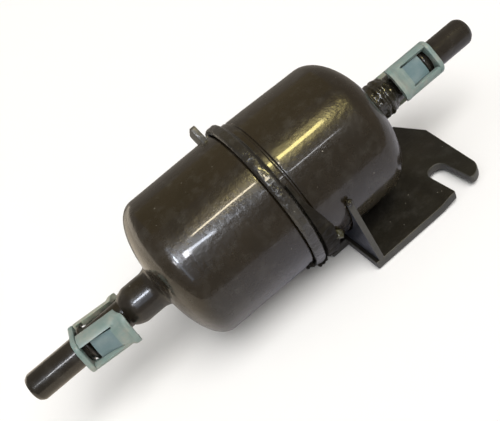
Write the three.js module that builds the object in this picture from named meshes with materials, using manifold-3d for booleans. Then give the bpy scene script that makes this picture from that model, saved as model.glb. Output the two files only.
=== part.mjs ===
// In-line fuel filter: crimped two-piece steel canister with quick-connect pipes, release
// retainers and a welded slotted bracket. Millimetres, +Z up, canister axis along +X towards
// the outlet. The bracket plate is level under the canister and its slot opens towards -Y.
import * as THREE from 'three';
import Module from 'manifold-3d';
import { mergeVertices } from 'three/addons/utils/BufferGeometryUtils.js';

const wasm = await Module();
wasm.setup();

// ---- driving dimensions -------------------------------------------------------------------
const CAN_SEGMENTS = 40;
const PIPE_SEGMENTS = 28;
const CAP_SEGMENTS = 40;
const CORE_SEGMENTS = 24;
const WALL = 1.0;
const FIT_GAP = 0.15;

const CAN = {
  rimR: 25.3,
  inletShoulder: { x: -26.2, r: 25.0 },
  outletShoulder: { x: 37.6, r: 24.5 },
  inletEnd: -36.6,
  outletEnd: 49.6,
  domeSteps: 6,
  domePower: 2.2,
};

const SEAM = {
  grooveStart: 3.6,
  grooveFloor: 24.8,
  lipX: 4.5,
  lipR: 25.7,
  channelX: 5.25,
  flangeX: 5.4,
  flangeBack: 6.2,
  flangeR: 26.4,
  channelBack: 6.95,
  channelR: 26.6,
  outerR: 27.2,
  bandEnd: 8.0,
  skirtEnd: 10.4,
  skirtGroove: 0.6,
  skirtDepth: 0.3,
};

const PIPE = {
  outerR: 4.75,
  boreR: 3.85,
  beadR: 6.0,
  beadHalf: 0.9,
  leadIn: 1.2,
  leadInR: 4.05,
  inletTip: -83.5,
  inletBead: -62.6,
  inletFoot: -30.5,
  outletTip: 92.1,
  outletBead: 72.4,
  outletFoot: 41.0,
};

const INLET_COLLAR = { start: -48.7, full: -45.6, end: -36.9, r: 6.45 };

const OUTLET_COLLAR = {
  root: 49.75,
  start: 52.75,
  valley: 54.85,
  end: 57.1,
  neck: 59.2,
  ridgeR: 6.5,
  valleyR: 5.9,
  neckR: 5.15,
  crest: 0.75,
};

const RETAINER = {
  halfWidth: 6.1,
  halfHeight: 7.8,
  cornerR: 3.6,
  ringBack: 3.6,
  ringFront: 1.1,
  ringBoreR: 5.05,
  legThick: 1.2,
  legSide: 3.0,
  legLength: 13.5,
  legGap: 0.3,
  hookRise: 1.6,
  hookLength: 2.2,
  windowHalf: 3.95,
  windowEnd: 8.5,
  tongueHalf: 3.5,
  tongueTip: 1.3,
  tongueTipInner: 5.4,
  tongueThick: 1.1,
  pipeClearR: 5.25,
  beadClearR: 6.25,
  beadClearEnd: 1.3,
  inletTurn: 76,
  inletYaw: -4.5,
  outletTurn: 53,
  outletYaw: 0,
  squeeze: 4.5,
  hingeHeight: 7.2,
};

const PLATE = {
  x0: 18.7,
  x1: 65.1,
  lipY: -28.5,
  farY: 13.5,
  top: -25.6,
  thick: 3.0,
  joggleStart: 46.4,
  joggleEnd: 50.2,
  joggleRise: 1.0,
  slotX0: 52.4,
  slotX1: 59.1,
  slotDepth: 14.3,
  slotCornerR: 3.1,
  prongR: 5.9,
  shoulderX: 67.8,
  shoulderY: 1.0,
  chamferX: 63.2,
  footX: 12.2,
  footY0: -12.6,
  footY1: 8.0,
};

const WEB = { x0: 19.9, x1: 21.9, topY: -25.9, topZ: -1.6, innerY: -4.0 };

const WELD = { x0: 23.5, x1: 37.6, innerY: 4.5, outerY: 9.3, shoulderY: 8.9, rise: 0.9, crown: 2.3 };

const NUGGET = { r: 1.2, y: -26.2, z: -1.0, segments: 10 };

// The strap runs down the near side of the canister, just behind the crimp. Each station is
// [elevation in degrees, far edge X]; the lug is the thick foot below the strap.
const STRAP = {
  x0: 8.75,
  thick: 1.1,
  stations: [
    [35.7, 9.2],
    [29.5, 9.45],
    [23.5, 9.8],
    [18.5, 10.4],
    [13, 11.2],
    [8, 11.9],
    [3, 12.5],
    [-4, 12.9],
  ],
};

const LUG = { x1: 13.2, thick: 1.9, top: -2, bottom: -40, steps: 7 };

const LUG_WELD = { r: 1.7, x: 14.1, elevation: -21, seat: 26.2 };

const TAB = { x: 2.4, thick: 1.9, width: 12.0, topR: 30.2, angle: 50.9 };

const ELEMENT = {
  x0: -19.0,
  x1: 32.0,
  paperOuterR: 20.6,
  paperInnerR: 10.2,
  paperOffset: 2.2,
  pleats: 32,
  capThick: 1.1,
  capR: 21.4,
  capSkirt: 3.0,
  coreR: 9.0,
  coreWall: 0.7,
  coreHoleR: 1.6,
  coreRows: 5,
  coreDrills: 3,
  neckR: 6.8,
  neckEnd: 38.4,
  neckWall: 0.9,
};

const GROMMET = { x0: 35.0, step: 38.7, x1: 46.0, outerR: 8.6, lipR: 10.0, lip: 1.4 };

const SPRING = { x0: -32.8, x1: -21.2, wireR: 0.7, meanR: 9.5, turns: 2.5, steps: 40, sides: 6 };

const BLACK_PAINT = { color: 0x2b2723, roughness: 0.32, metalness: 0.25 };
const PIPE_PAINT = { color: 0x2e2924, roughness: 0.4, metalness: 0.3 };
const BRACKET_PAINT = { color: 0x24211c, roughness: 0.5, metalness: 0.25 };
const WELD_METAL = { color: 0x35312b, roughness: 0.45, metalness: 0.4 };
const TEAL_PLASTIC = { color: 0x9fb8b2, roughness: 0.35, metalness: 0.0 };
const PAPER = { color: 0xc9a25a, roughness: 0.9, metalness: 0.0 };
const TINPLATE = { color: 0xb9bcbf, roughness: 0.35, metalness: 0.9 };
const RUBBER = { color: 0x17181a, roughness: 0.8, metalness: 0.0 };
const SPRING_STEEL = { color: 0x8d9094, roughness: 0.3, metalness: 0.95 };

const HALF_TURN = Math.PI;
const FULL_TURN = 2 * Math.PI;
const QUARTER_TURN = Math.PI / 2;
const HALF_TURN_DEGREES = 180;
const WELD_TOLERANCE = 1e-4;
const CUTTER_MARGIN = 5;
const CURVE_SEGMENTS = 8;
const DRILL_SIDES = 8;
const SIDES = 4;
const X_AXIS = new THREE.Vector3(1, 0, 0);
const Y_AXIS = new THREE.Vector3(0, 1, 0);
const Z_AXIS = new THREE.Vector3(0, 0, 1);

// ---- shared helpers -----------------------------------------------------------------------
function radians(degrees) {
  return (degrees * Math.PI) / 180;
}

function named(name, geometry, finish) {
  const mesh = new THREE.Mesh(geometry, new THREE.MeshStandardMaterial(finish));
  mesh.name = name;
  return mesh;
}

// Turns an outline of [axial, radius] pairs about the X axis. An outline that starts and ends
// on the axis is left open there; any other is closed on itself.
function turned(outline, segments) {
  const points = outline.map(([x, r]) => new THREE.Vector2(r, x));
  if (THREE.ShapeUtils.area(points) < 0) points.reverse();
  const onAxis = points[0].x === 0 && points[points.length - 1].x === 0;
  if (!onAxis) points.push(points[0].clone());
  const geometry = new THREE.LatheGeometry(points, segments);
  geometry.rotateZ(-QUARTER_TURN);
  return geometry;
}

function toManifold(geometry) {
  const bare = geometry.clone();
  bare.deleteAttribute('normal');
  bare.deleteAttribute('uv');
  const merged = mergeVertices(bare, WELD_TOLERANCE);
  return new wasm.Manifold(new wasm.Mesh({
    numProp: 3,
    vertProperties: new Float32Array(merged.attributes.position.array),
    triVerts: new Uint32Array(merged.index.array),
  }));
}

function toGeometry(solid) {
  const mesh = solid.getMesh();
  const geometry = new THREE.BufferGeometry();
  geometry.setAttribute('position', new THREE.BufferAttribute(mesh.vertProperties, 3));
  geometry.setIndex(new THREE.BufferAttribute(mesh.triVerts, 1));
  geometry.computeVertexNormals();
  return geometry;
}

function extruded(shape, depth) {
  return new THREE.ExtrudeGeometry(shape, {
    depth,
    bevelEnabled: false,
    curveSegments: CURVE_SEGMENTS,
  });
}

function polygon(points) {
  return new THREE.Shape(points.map(([x, y]) => new THREE.Vector2(x, y)));
}

// Box between two corners, given as [x, y, z] each.
function block(low, high) {
  const size = high.map((value, i) => value - low[i]);
  const centre = high.map((value, i) => (value + low[i]) / 2);
  return new THREE.BoxGeometry(...size).translate(...centre);
}

function cylinderAlongX(radius, x0, x1, segments) {
  return new THREE.CylinderGeometry(radius, radius, x1 - x0, segments)
    .rotateZ(-QUARTER_TURN)
    .translate((x0 + x1) / 2, 0, 0);
}

// Radius of a domed end between its shoulder (0) and its tip (1).
function domeRadius(shoulderR, along) {
  return shoulderR * (1 - along ** CAN.domePower) ** (1 / CAN.domePower);
}

// Dome outline from the shoulder to where it meets the hole radius.
function domeOutline(shoulder, tipX, holeR, inset) {
  const tip = tipX - Math.sign(tipX - shoulder.x) * inset;
  const r = shoulder.r - inset;
  const points = [];
  for (let i = 0; i < CAN.domeSteps; i += 1) {
    const along = Math.sin((i / CAN.domeSteps) * QUARTER_TURN);
    points.push([shoulder.x + (tip - shoulder.x) * along, domeRadius(r, along)]);
  }
  points.push([tip, holeR]);
  return points;
}

// ---- canister -----------------------------------------------------------------------------
function inletHalfShell() {
  const hole = PIPE.outerR + FIT_GAP;
  const outer = domeOutline(CAN.inletShoulder, CAN.inletEnd, hole, 0).reverse();
  const inner = domeOutline(CAN.inletShoulder, CAN.inletEnd, hole, WALL);
  const seam = [
    [SEAM.grooveStart, CAN.rimR],
    [SEAM.grooveStart + WALL / 2, SEAM.grooveFloor],
    [SEAM.flangeX, SEAM.grooveFloor],
    [SEAM.flangeX, SEAM.flangeR],
    [SEAM.flangeBack, SEAM.flangeR],
    [SEAM.flangeBack, SEAM.grooveFloor - WALL],
    [SEAM.grooveStart, CAN.rimR - WALL - FIT_GAP * 2],
  ];
  return named('inlet_half_shell', turned([...outer, ...seam, ...inner], CAN_SEGMENTS), BLACK_PAINT);
}

function crimpOutline() {
  const edge = SEAM.outerR - WALL / 2;
  return [
    [SEAM.channelX, SEAM.lipR],
    [SEAM.lipX, SEAM.lipR],
    [SEAM.lipX, edge],
    [SEAM.channelX, SEAM.outerR],
    [SEAM.bandEnd - WALL / 2, SEAM.outerR],
    [SEAM.bandEnd, edge],
    [SEAM.bandEnd + WALL / 2, CAN.rimR],
    [SEAM.skirtEnd, CAN.rimR],
    [SEAM.skirtEnd + FIT_GAP, CAN.rimR - SEAM.skirtDepth],
    [SEAM.skirtEnd + SEAM.skirtGroove, CAN.rimR - SEAM.skirtDepth],
    [SEAM.skirtEnd + SEAM.skirtGroove + FIT_GAP, CAN.rimR - FIT_GAP],
  ];
}

function outletHalfShell() {
  const hole = PIPE.outerR + FIT_GAP;
  const outer = domeOutline(CAN.outletShoulder, CAN.outletEnd, hole, 0);
  const inner = domeOutline(CAN.outletShoulder, CAN.outletEnd, hole, WALL).reverse();
  const mouth = [
    [SEAM.channelBack, CAN.rimR - WALL],
    [SEAM.channelBack, SEAM.channelR],
    [SEAM.channelX, SEAM.channelR],
  ];
  const outline = [...crimpOutline(), ...outer, ...inner, ...mouth];
  return named('outlet_half_shell', turned(outline, CAN_SEGMENTS), BLACK_PAINT);
}

function seamSealRing() {
  const low = CAN.rimR - WALL + FIT_GAP;
  const x0 = SEAM.flangeBack + FIT_GAP;
  const x1 = SEAM.channelBack - FIT_GAP;
  const outline = [[x0, low], [x0, SEAM.flangeR], [x1, SEAM.flangeR], [x1, low]];
  return named('seam_seal_ring', turned(outline, CAN_SEGMENTS), RUBBER);
}

// Upright ear standing on the inlet half beside the crimp, cut to the canister's curve.
function seamTab() {
  const foot = CAN.rimR + FIT_GAP;
  const x0 = TAB.x - TAB.thick / 2;
  const half = TAB.width / 2;
  const low = [x0, -half, foot - WALL];
  const ear = toManifold(block(low, [x0 + TAB.thick, half, TAB.topR]));
  const toe = toManifold(block(low, [SEAM.lipX - FIT_GAP * 2, half, foot + WALL / 2]));
  const geometry = toGeometry(ear.add(toe).subtract(canCutter(x0 - CUTTER_MARGIN, x0 + CUTTER_MARGIN)));
  geometry.rotateX(radians(TAB.angle) - QUARTER_TURN);
  return named('seam_tab', geometry, BLACK_PAINT);
}

// ---- pipes --------------------------------------------------------------------------------
// Outline of a quick-connect pipe whose tip points along dir (+1 or -1).
function pipeOutline(tip, bead, foot, dir) {
  return [
    [tip, PIPE.boreR],
    [tip, PIPE.leadInR],
    [tip - (dir * PIPE.leadIn) / 2, PIPE.outerR - PIPE.leadIn / 4],
    [tip - dir * PIPE.leadIn, PIPE.outerR],
    [bead + dir * PIPE.beadHalf, PIPE.outerR],
    [bead + (dir * PIPE.beadHalf) / 2, PIPE.beadR],
    [bead - (dir * PIPE.beadHalf) / 2, PIPE.beadR],
    [bead - dir * PIPE.beadHalf, PIPE.outerR],
    [foot, PIPE.outerR],
    [foot, PIPE.boreR],
  ];
}

function inletPipe() {
  const outline = pipeOutline(PIPE.inletTip, PIPE.inletBead, PIPE.inletFoot, -1);
  return named('inlet_pipe', turned(outline, PIPE_SEGMENTS), PIPE_PAINT);
}

function outletPipe() {
  const outline = pipeOutline(PIPE.outletTip, PIPE.outletBead, PIPE.outletFoot, 1);
  return named('outlet_pipe', turned(outline, PIPE_SEGMENTS), PIPE_PAINT);
}

function inletCollar() {
  const bore = PIPE.outerR + FIT_GAP;
  const outline = [
    [INLET_COLLAR.start, bore],
    [INLET_COLLAR.start, bore + FIT_GAP],
    [INLET_COLLAR.full, INLET_COLLAR.r],
    [INLET_COLLAR.end, INLET_COLLAR.r],
    [INLET_COLLAR.end, bore],
  ];
  return named('inlet_collar', turned(outline, PIPE_SEGMENTS), PIPE_PAINT);
}

function outletCollar() {
  const bore = PIPE.outerR + FIT_GAP;
  const half = OUTLET_COLLAR.crest;
  const outline = [
    [OUTLET_COLLAR.root, bore],
    [OUTLET_COLLAR.root, OUTLET_COLLAR.valleyR],
    [OUTLET_COLLAR.start, OUTLET_COLLAR.valleyR],
    [OUTLET_COLLAR.start + half, OUTLET_COLLAR.ridgeR],
    [OUTLET_COLLAR.valley - half, OUTLET_COLLAR.ridgeR],
    [OUTLET_COLLAR.valley, OUTLET_COLLAR.valleyR],
    [OUTLET_COLLAR.valley + half, OUTLET_COLLAR.ridgeR],
    [OUTLET_COLLAR.end - half, OUTLET_COLLAR.ridgeR],
    [OUTLET_COLLAR.end, OUTLET_COLLAR.valleyR],
    [OUTLET_COLLAR.neck, OUTLET_COLLAR.neckR],
    [OUTLET_COLLAR.neck, bore],
  ];
  return named('outlet_collar', turned(outline, PIPE_SEGMENTS), WELD_METAL);
}

// ---- retainers ----------------------------------------------------------------------------
// A retainer is drawn with its bead plane at x = 0, its legs running towards +X and its front
// leg on the +Z side. dir is +1 when the canister lies towards +X of the bead.
function placed(solid, seat) {
  const geometry = toGeometry(solid);
  if (seat.dir < 0) geometry.rotateZ(HALF_TURN);
  geometry.rotateX(radians(seat.turn));
  geometry.translate(seat.bead, 0, 0);
  return geometry;
}

// Turns a retainer part askew on its pipe, about the middle of the ring.
function skewed(geometry, yaw) {
  const middle = (RETAINER.ringBack + RETAINER.ringFront) / 2;
  return toManifold(geometry.translate(middle, 0, 0).rotateZ(radians(yaw)).translate(-middle, 0, 0));
}

function roundedRectangle(halfWidth, halfHeight, r) {
  const [w, h] = [halfWidth - r, halfHeight - r];
  const shape = new THREE.Shape();
  shape.absarc(w, -h, r, -QUARTER_TURN, 0, false);
  shape.absarc(w, h, r, 0, QUARTER_TURN, false);
  shape.absarc(-w, h, r, QUARTER_TURN, HALF_TURN, false);
  shape.absarc(-w, -h, r, HALF_TURN, HALF_TURN + QUARTER_TURN, false);
  return shape;
}

// Prism along X from a shape drawn in the YZ plane.
function shapeAlongX(shape, x0, x1) {
  const geometry = extruded(shape, x1 - x0);
  geometry.applyMatrix4(new THREE.Matrix4().makeBasis(Y_AXIS, Z_AXIS, X_AXIS));
  return geometry.translate(x0, 0, 0);
}

function beadClearance(x0, x1) {
  return toManifold(cylinderAlongX(RETAINER.beadClearR, x0, x1, PIPE_SEGMENTS));
}

function retainerRing(name, seat) {
  const shape = roundedRectangle(RETAINER.halfWidth, RETAINER.halfHeight, RETAINER.cornerR);
  const plate = shapeAlongX(shape, -RETAINER.ringBack, -RETAINER.ringFront);
  const reach = RETAINER.ringBack + CUTTER_MARGIN;
  const bore = cylinderAlongX(RETAINER.ringBoreR, -reach, reach, PIPE_SEGMENTS);
  const ring = skewed(plate, seat.yaw)
    .subtract(toManifold(bore))
    .subtract(beadClearance(-PIPE.beadHalf - FIT_GAP, CUTTER_MARGIN));
  return named(name, placed(ring, seat), TEAL_PLASTIC);
}

// Side outline of the outward hook at the end of a leg.
function hookOutline() {
  const end = RETAINER.legLength;
  const rise = RETAINER.hookRise;
  const top = RETAINER.halfHeight + rise;
  const root = RETAINER.halfHeight - RETAINER.legThick / 2;
  return polygon([
    [end - RETAINER.hookLength - rise / 2, root],
    [end, root],
    [end, top],
    [end - RETAINER.hookLength / 2, top],
  ]);
}

// Side outline of the locking tongue, which leans in to sit behind the pipe bead.
function tongueOutline() {
  const tip = RETAINER.tongueTip;
  const root = RETAINER.windowEnd + WALL / 2;
  return polygon([
    [tip, RETAINER.tongueTipInner],
    [root, RETAINER.halfHeight - RETAINER.legThick],
    [root, RETAINER.halfHeight],
    [tip, RETAINER.tongueTipInner + RETAINER.tongueThick],
  ]);
}

function acrossPipe(shape, half) {
  return extruded(shape, 2 * half).rotateX(QUARTER_TURN).translate(0, half, 0);
}

// Rounded tube that a leg is cut from; grow is added to its height.
function legTube(inset, grow, x0, x1) {
  const shape = roundedRectangle(
    RETAINER.halfWidth - inset,
    RETAINER.halfHeight - inset + grow,
    RETAINER.cornerR - inset,
  );
  return toManifold(shapeAlongX(shape, x0, x1));
}

// Curved leg with its window, tongue and hook, before it is cleared from the pipe.
function legSolid() {
  const start = RETAINER.legGap - RETAINER.ringFront;
  const end = RETAINER.legLength;
  const tube = legTube(0, 0, start, end);
  const hook = legTube(0, RETAINER.hookRise, start, end)
    .intersect(toManifold(acrossPipe(hookOutline(), RETAINER.halfWidth)));
  const tongue = toManifold(acrossPipe(tongueOutline(), RETAINER.tongueHalf)).intersect(tube);
  const windowLow = [start - WALL, -RETAINER.windowHalf, 0];
  const windowHigh = [RETAINER.windowEnd, RETAINER.windowHalf, RETAINER.halfHeight + WALL];
  const below = block(
    [start - WALL, -RETAINER.halfWidth - WALL, -RETAINER.halfHeight - WALL],
    [end + WALL, RETAINER.halfWidth + WALL, RETAINER.legSide],
  );
  return tube.add(hook)
    .subtract(legTube(RETAINER.legThick, 0, start - WALL, end + WALL))
    .subtract(toManifold(below))
    .subtract(toManifold(block(windowLow, windowHigh)))
    .add(tongue);
}

// Room for the pipe, seen from a leg that is squeezed in by an angle.
function pipeRoom(seat, side, squeeze) {
  const reach = RETAINER.legLength + CUTTER_MARGIN;
  const start = RETAINER.legGap - RETAINER.ringFront;
  const pipe = cylinderAlongX(RETAINER.pipeClearR, -reach, reach, PIPE_SEGMENTS);
  const seen = toGeometry(skewed(pipe, -seat.yaw)).rotateX(-radians(side));
  return toManifold(seen
    .translate(-start, 0, -RETAINER.hingeHeight)
    .rotateY(-radians(squeeze))
    .translate(start, 0, RETAINER.hingeHeight));
}

function retainerLeg(name, seat, side) {
  const leg = legSolid()
    .subtract(pipeRoom(seat, side, 0))
    .subtract(pipeRoom(seat, side, RETAINER.squeeze));
  const clear = skewed(toGeometry(leg).rotateX(radians(side)), seat.yaw)
    .subtract(beadClearance(-CUTTER_MARGIN, RETAINER.beadClearEnd));
  return named(name, placed(clear, seat), TEAL_PLASTIC);
}

function retainer(prefix, bead, dir, turn, yaw) {
  const seat = { bead, dir, turn, yaw };
  return [
    retainerRing(`${prefix}_retainer_ring`, seat),
    retainerLeg(`${prefix}_release_leg_front`, seat, 0),
    retainerLeg(`${prefix}_release_leg_rear`, seat, HALF_TURN_DEGREES),
  ];
}

// ---- bracket ------------------------------------------------------------------------------
// Plan of the plate, seen from above: a welded foot, a straight lip and a slotted ear.
function platePlan() {
  const slotTop = PLATE.lipY + PLATE.slotDepth;
  const r = PLATE.slotCornerR;
  const prongCentre = [PLATE.x1 - PLATE.prongR, PLATE.lipY + PLATE.prongR];
  const shape = new THREE.Shape();
  shape.moveTo(PLATE.x0, PLATE.lipY);
  shape.lineTo(PLATE.slotX0, PLATE.lipY);
  shape.lineTo(PLATE.slotX0, slotTop - r);
  shape.absarc(PLATE.slotX0 + r, slotTop - r, r, HALF_TURN, QUARTER_TURN, true);
  shape.absarc(PLATE.slotX1 - r, slotTop - r, r, QUARTER_TURN, 0, true);
  shape.lineTo(PLATE.slotX1, PLATE.lipY);
  shape.absarc(...prongCentre, PLATE.prongR, -QUARTER_TURN, 0, false);
  shape.lineTo(PLATE.shoulderX, PLATE.shoulderY);
  shape.lineTo(PLATE.chamferX, PLATE.farY);
  shape.lineTo(PLATE.x0, PLATE.farY);
  shape.lineTo(PLATE.footX, PLATE.footY1);
  shape.lineTo(PLATE.footX, PLATE.footY0);
  shape.lineTo(PLATE.x0, PLATE.footY0);
  return shape;
}

// Side view of the sheet: level plate, then a small joggle up to the ear.
function plateSheet() {
  const low = PLATE.top - PLATE.thick;
  return polygon([
    [PLATE.footX - WALL, low],
    [PLATE.joggleStart, low],
    [PLATE.joggleEnd, low + PLATE.joggleRise],
    [PLATE.shoulderX + WALL, low + PLATE.joggleRise],
    [PLATE.shoulderX + WALL, PLATE.top + PLATE.joggleRise],
    [PLATE.joggleEnd, PLATE.top + PLATE.joggleRise],
    [PLATE.joggleStart, PLATE.top],
    [PLATE.footX - WALL, PLATE.top],
  ]);
}

function bracketPlate() {
  const depth = PLATE.thick + 2 * CUTTER_MARGIN;
  const plan = extruded(platePlan(), depth).translate(0, 0, PLATE.top - depth + CUTTER_MARGIN);
  const width = PLATE.farY - PLATE.lipY + 2 * CUTTER_MARGIN;
  const sheet = extruded(plateSheet(), width)
    .rotateX(QUARTER_TURN)
    .translate(0, PLATE.farY + CUTTER_MARGIN, 0);
  const plate = toManifold(plan).intersect(toManifold(sheet));
  return named('bracket_plate', toGeometry(plate), BRACKET_PAINT);
}

function canCutter(x0, x1) {
  return toManifold(cylinderAlongX(CAN.rimR + FIT_GAP, x0, x1, CAN_SEGMENTS * 2));
}

// Prism along X from an outline of [y, z] pairs.
function alongX(points, x0, x1) {
  return shapeAlongX(polygon(points), x0, x1);
}

function bracketWeb() {
  const foot = PLATE.top + FIT_GAP;
  const outline = [
    [PLATE.lipY, foot],
    [WEB.innerY, foot],
    [WEB.innerY, WEB.topZ],
    [WEB.topY, WEB.topZ],
  ];
  const solid = toManifold(alongX(outline, WEB.x0, WEB.x1))
    .subtract(canCutter(WEB.x0 - CUTTER_MARGIN, WEB.x1 + CUTTER_MARGIN));
  return named('bracket_web', toGeometry(solid), BRACKET_PAINT);
}

// Fillet weld between the canister's underside and the plate, on one side (+1 or -1) of it.
function bracketWeld(name, side) {
  const foot = PLATE.top + FIT_GAP;
  const outline = [
    [WELD.innerY, foot],
    [WELD.outerY, foot],
    [WELD.shoulderY, foot + WELD.rise],
    [WELD.shoulderY - WELD.rise, foot + WELD.crown],
    [WELD.innerY, foot + WELD.crown],
  ].map(([y, z]) => [side * y, z]);
  if (side < 0) outline.reverse();
  const solid = toManifold(alongX(outline, WELD.x0, WELD.x1))
    .subtract(canCutter(WELD.x0 - CUTTER_MARGIN, WELD.x1 + CUTTER_MARGIN));
  return named(name, toGeometry(solid), WELD_METAL);
}

function webNugget() {
  const x = (WEB.x0 + WEB.x1) / 2;
  const ball = new THREE.SphereGeometry(NUGGET.r, NUGGET.segments, NUGGET.segments / 2);
  const webLow = [WEB.x0 - FIT_GAP, PLATE.lipY, PLATE.top];
  const webHigh = [WEB.x1 + FIT_GAP, 0, WEB.topZ + FIT_GAP];
  const solid = toManifold(ball.translate(x, NUGGET.y, NUGGET.z))
    .subtract(toManifold(block(webLow, webHigh)))
    .subtract(canCutter(x - CUTTER_MARGIN, x + CUTTER_MARGIN));
  return named('bracket_web_weld', toGeometry(solid), WELD_METAL);
}

// Solid band wrapped on the canister from stations of [elevation, near X, far X].
function wrapped(stations, innerR, outerR) {
  const points = [];
  const faces = [];
  stations.forEach(([elevation, x0, x1], i) => {
    const e = radians(elevation);
    [[x0, innerR], [x1, innerR], [x1, outerR], [x0, outerR]].forEach(([x, r]) => {
      points.push(x, -r * Math.cos(e), r * Math.sin(e));
    });
    for (let k = 0; k < SIDES && i > 0; k += 1) {
      const [a, b] = [SIDES * i + k, SIDES * i + ((k + 1) % SIDES)];
      faces.push(a - SIDES, b - SIDES, b, a - SIDES, b, a);
    }
  });
  const last = points.length / 3 - SIDES;
  faces.push(0, 2, 1, 0, 3, 2, last, last + 1, last + 2, last, last + 2, last + 3);
  const geometry = new THREE.BufferGeometry();
  geometry.setAttribute('position', new THREE.BufferAttribute(new Float32Array(points), 3));
  geometry.setIndex(faces);
  return geometry;
}

// Thin strap that widens down the canister's near side into a thick lug.
function bracketStrap() {
  const seat = CAN.rimR + FIT_GAP;
  const thin = STRAP.stations.map(([elevation, x1]) => [elevation, STRAP.x0, x1]);
  const thick = [];
  for (let i = 0; i <= LUG.steps; i += 1) {
    const elevation = LUG.top + (i / LUG.steps) * (LUG.bottom - LUG.top);
    thick.push([elevation, STRAP.x0, LUG.x1]);
  }
  const solid = toManifold(wrapped(thin, seat, seat + STRAP.thick))
    .add(toManifold(wrapped(thick, seat, seat + LUG.thick)));
  return named('bracket_strap', toGeometry(solid), BRACKET_PAINT);
}

function lugWeld() {
  const e = radians(LUG_WELD.elevation);
  const ball = new THREE.SphereGeometry(LUG_WELD.r, NUGGET.segments, NUGGET.segments / 2);
  ball.translate(LUG_WELD.x, -LUG_WELD.seat * Math.cos(e), LUG_WELD.seat * Math.sin(e));
  const lugSide = LUG.x1 + FIT_GAP;
  const reach = CAN.rimR + CUTTER_MARGIN;
  const lug = cylinderAlongX(reach, lugSide - CUTTER_MARGIN, lugSide, CAN_SEGMENTS);
  const solid = toManifold(ball)
    .subtract(toManifold(lug))
    .subtract(canCutter(LUG_WELD.x - CUTTER_MARGIN, LUG_WELD.x + CUTTER_MARGIN));
  return named('bracket_strap_weld', toGeometry(solid), WELD_METAL);
}

// ---- filter element -----------------------------------------------------------------------
function zigzag(tipR, rootR, Kind) {
  const points = [];
  for (let i = 0; i < 2 * ELEMENT.pleats; i += 1) {
    const angle = (i / (2 * ELEMENT.pleats)) * FULL_TURN;
    const r = i % 2 === 0 ? tipR : rootR;
    points.push(new THREE.Vector2(r * Math.cos(angle), r * Math.sin(angle)));
  }
  return new Kind(points);
}

function pleatedPaper() {
  const shape = zigzag(ELEMENT.paperOuterR, ELEMENT.paperInnerR + ELEMENT.paperOffset, THREE.Shape);
  shape.holes.push(zigzag(ELEMENT.paperOuterR - ELEMENT.paperOffset, ELEMENT.paperInnerR, THREE.Path));
  const geometry = extruded(shape, ELEMENT.x1 - ELEMENT.x0 - 2 * FIT_GAP);
  geometry.rotateY(QUARTER_TURN);
  geometry.translate(ELEMENT.x0 + FIT_GAP, 0, 0);
  return named('pleated_paper', geometry, PAPER);
}

function perforatedCore() {
  const outer = ELEMENT.coreR;
  const inner = ELEMENT.coreR - ELEMENT.coreWall;
  const r = ELEMENT.coreHoleR;
  const [x0, x1] = [ELEMENT.x0 + FIT_GAP, ELEMENT.x1 - FIT_GAP];
  let tube = toManifold(turned([[x0, inner], [x0, outer], [x1, outer], [x1, inner]], CORE_SEGMENTS));
  for (let row = 0; row < ELEMENT.coreRows; row += 1) {
    const x = x0 + ((2 * row + 1) / (2 * ELEMENT.coreRows)) * (x1 - x0);
    for (let k = 0; k < ELEMENT.coreDrills; k += 1) {
      const turn = ((k + (row % 2) / 2) / ELEMENT.coreDrills) * HALF_TURN;
      const drill = new THREE.CylinderGeometry(r, r, 2 * ELEMENT.capR, DRILL_SIDES);
      tube = tube.subtract(toManifold(drill.rotateX(turn).translate(x, 0, 0)));
    }
  }
  return named('perforated_core', toGeometry(tube), TINPLATE);
}

function inletEndCap() {
  const skirt = ELEMENT.capR - ELEMENT.capThick / 2;
  const outline = [
    [ELEMENT.x0 - ELEMENT.capThick, 0],
    [ELEMENT.x0 - ELEMENT.capThick, ELEMENT.capR],
    [ELEMENT.x0 + ELEMENT.capSkirt, ELEMENT.capR],
    [ELEMENT.x0 + ELEMENT.capSkirt, skirt],
    [ELEMENT.x0, skirt],
    [ELEMENT.x0, 0],
  ];
  return named('element_end_cap_inlet', turned(outline, CAP_SEGMENTS), TINPLATE);
}

function outletEndCap() {
  const skirt = ELEMENT.capR - ELEMENT.capThick / 2;
  const outline = [
    [ELEMENT.x1, ELEMENT.neckR - ELEMENT.neckWall],
    [ELEMENT.x1, skirt],
    [ELEMENT.x1 - ELEMENT.capSkirt, skirt],
    [ELEMENT.x1 - ELEMENT.capSkirt, ELEMENT.capR],
    [ELEMENT.x1 + ELEMENT.capThick, ELEMENT.capR],
    [ELEMENT.x1 + ELEMENT.capThick, ELEMENT.neckR],
    [ELEMENT.neckEnd, ELEMENT.neckR],
    [ELEMENT.neckEnd, ELEMENT.neckR - ELEMENT.neckWall],
  ];
  return named('element_end_cap_outlet', turned(outline, CAP_SEGMENTS), TINPLATE);
}

// Rubber sleeve that joins the element's neck to the foot of the outlet pipe.
function outletGrommet() {
  const onNeck = ELEMENT.neckR + FIT_GAP;
  const onPipe = PIPE.outerR + FIT_GAP;
  const outline = [
    [GROMMET.x0, onNeck],
    [GROMMET.x0, GROMMET.lipR],
    [GROMMET.x0 + GROMMET.lip, GROMMET.lipR],
    [GROMMET.x0 + GROMMET.lip, GROMMET.outerR],
    [GROMMET.x1, GROMMET.outerR - WALL],
    [GROMMET.x1, onPipe],
    [GROMMET.step, onPipe],
    [GROMMET.step, onNeck],
  ];
  return named('outlet_grommet', turned(outline, PIPE_SEGMENTS), RUBBER);
}

class Helix extends THREE.Curve {
  getPoint(t, target = new THREE.Vector3()) {
    const angle = t * SPRING.turns * FULL_TURN;
    const x = SPRING.x0 + t * (SPRING.x1 - SPRING.x0);
    return target.set(x, SPRING.meanR * Math.cos(angle), SPRING.meanR * Math.sin(angle));
  }
}

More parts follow.
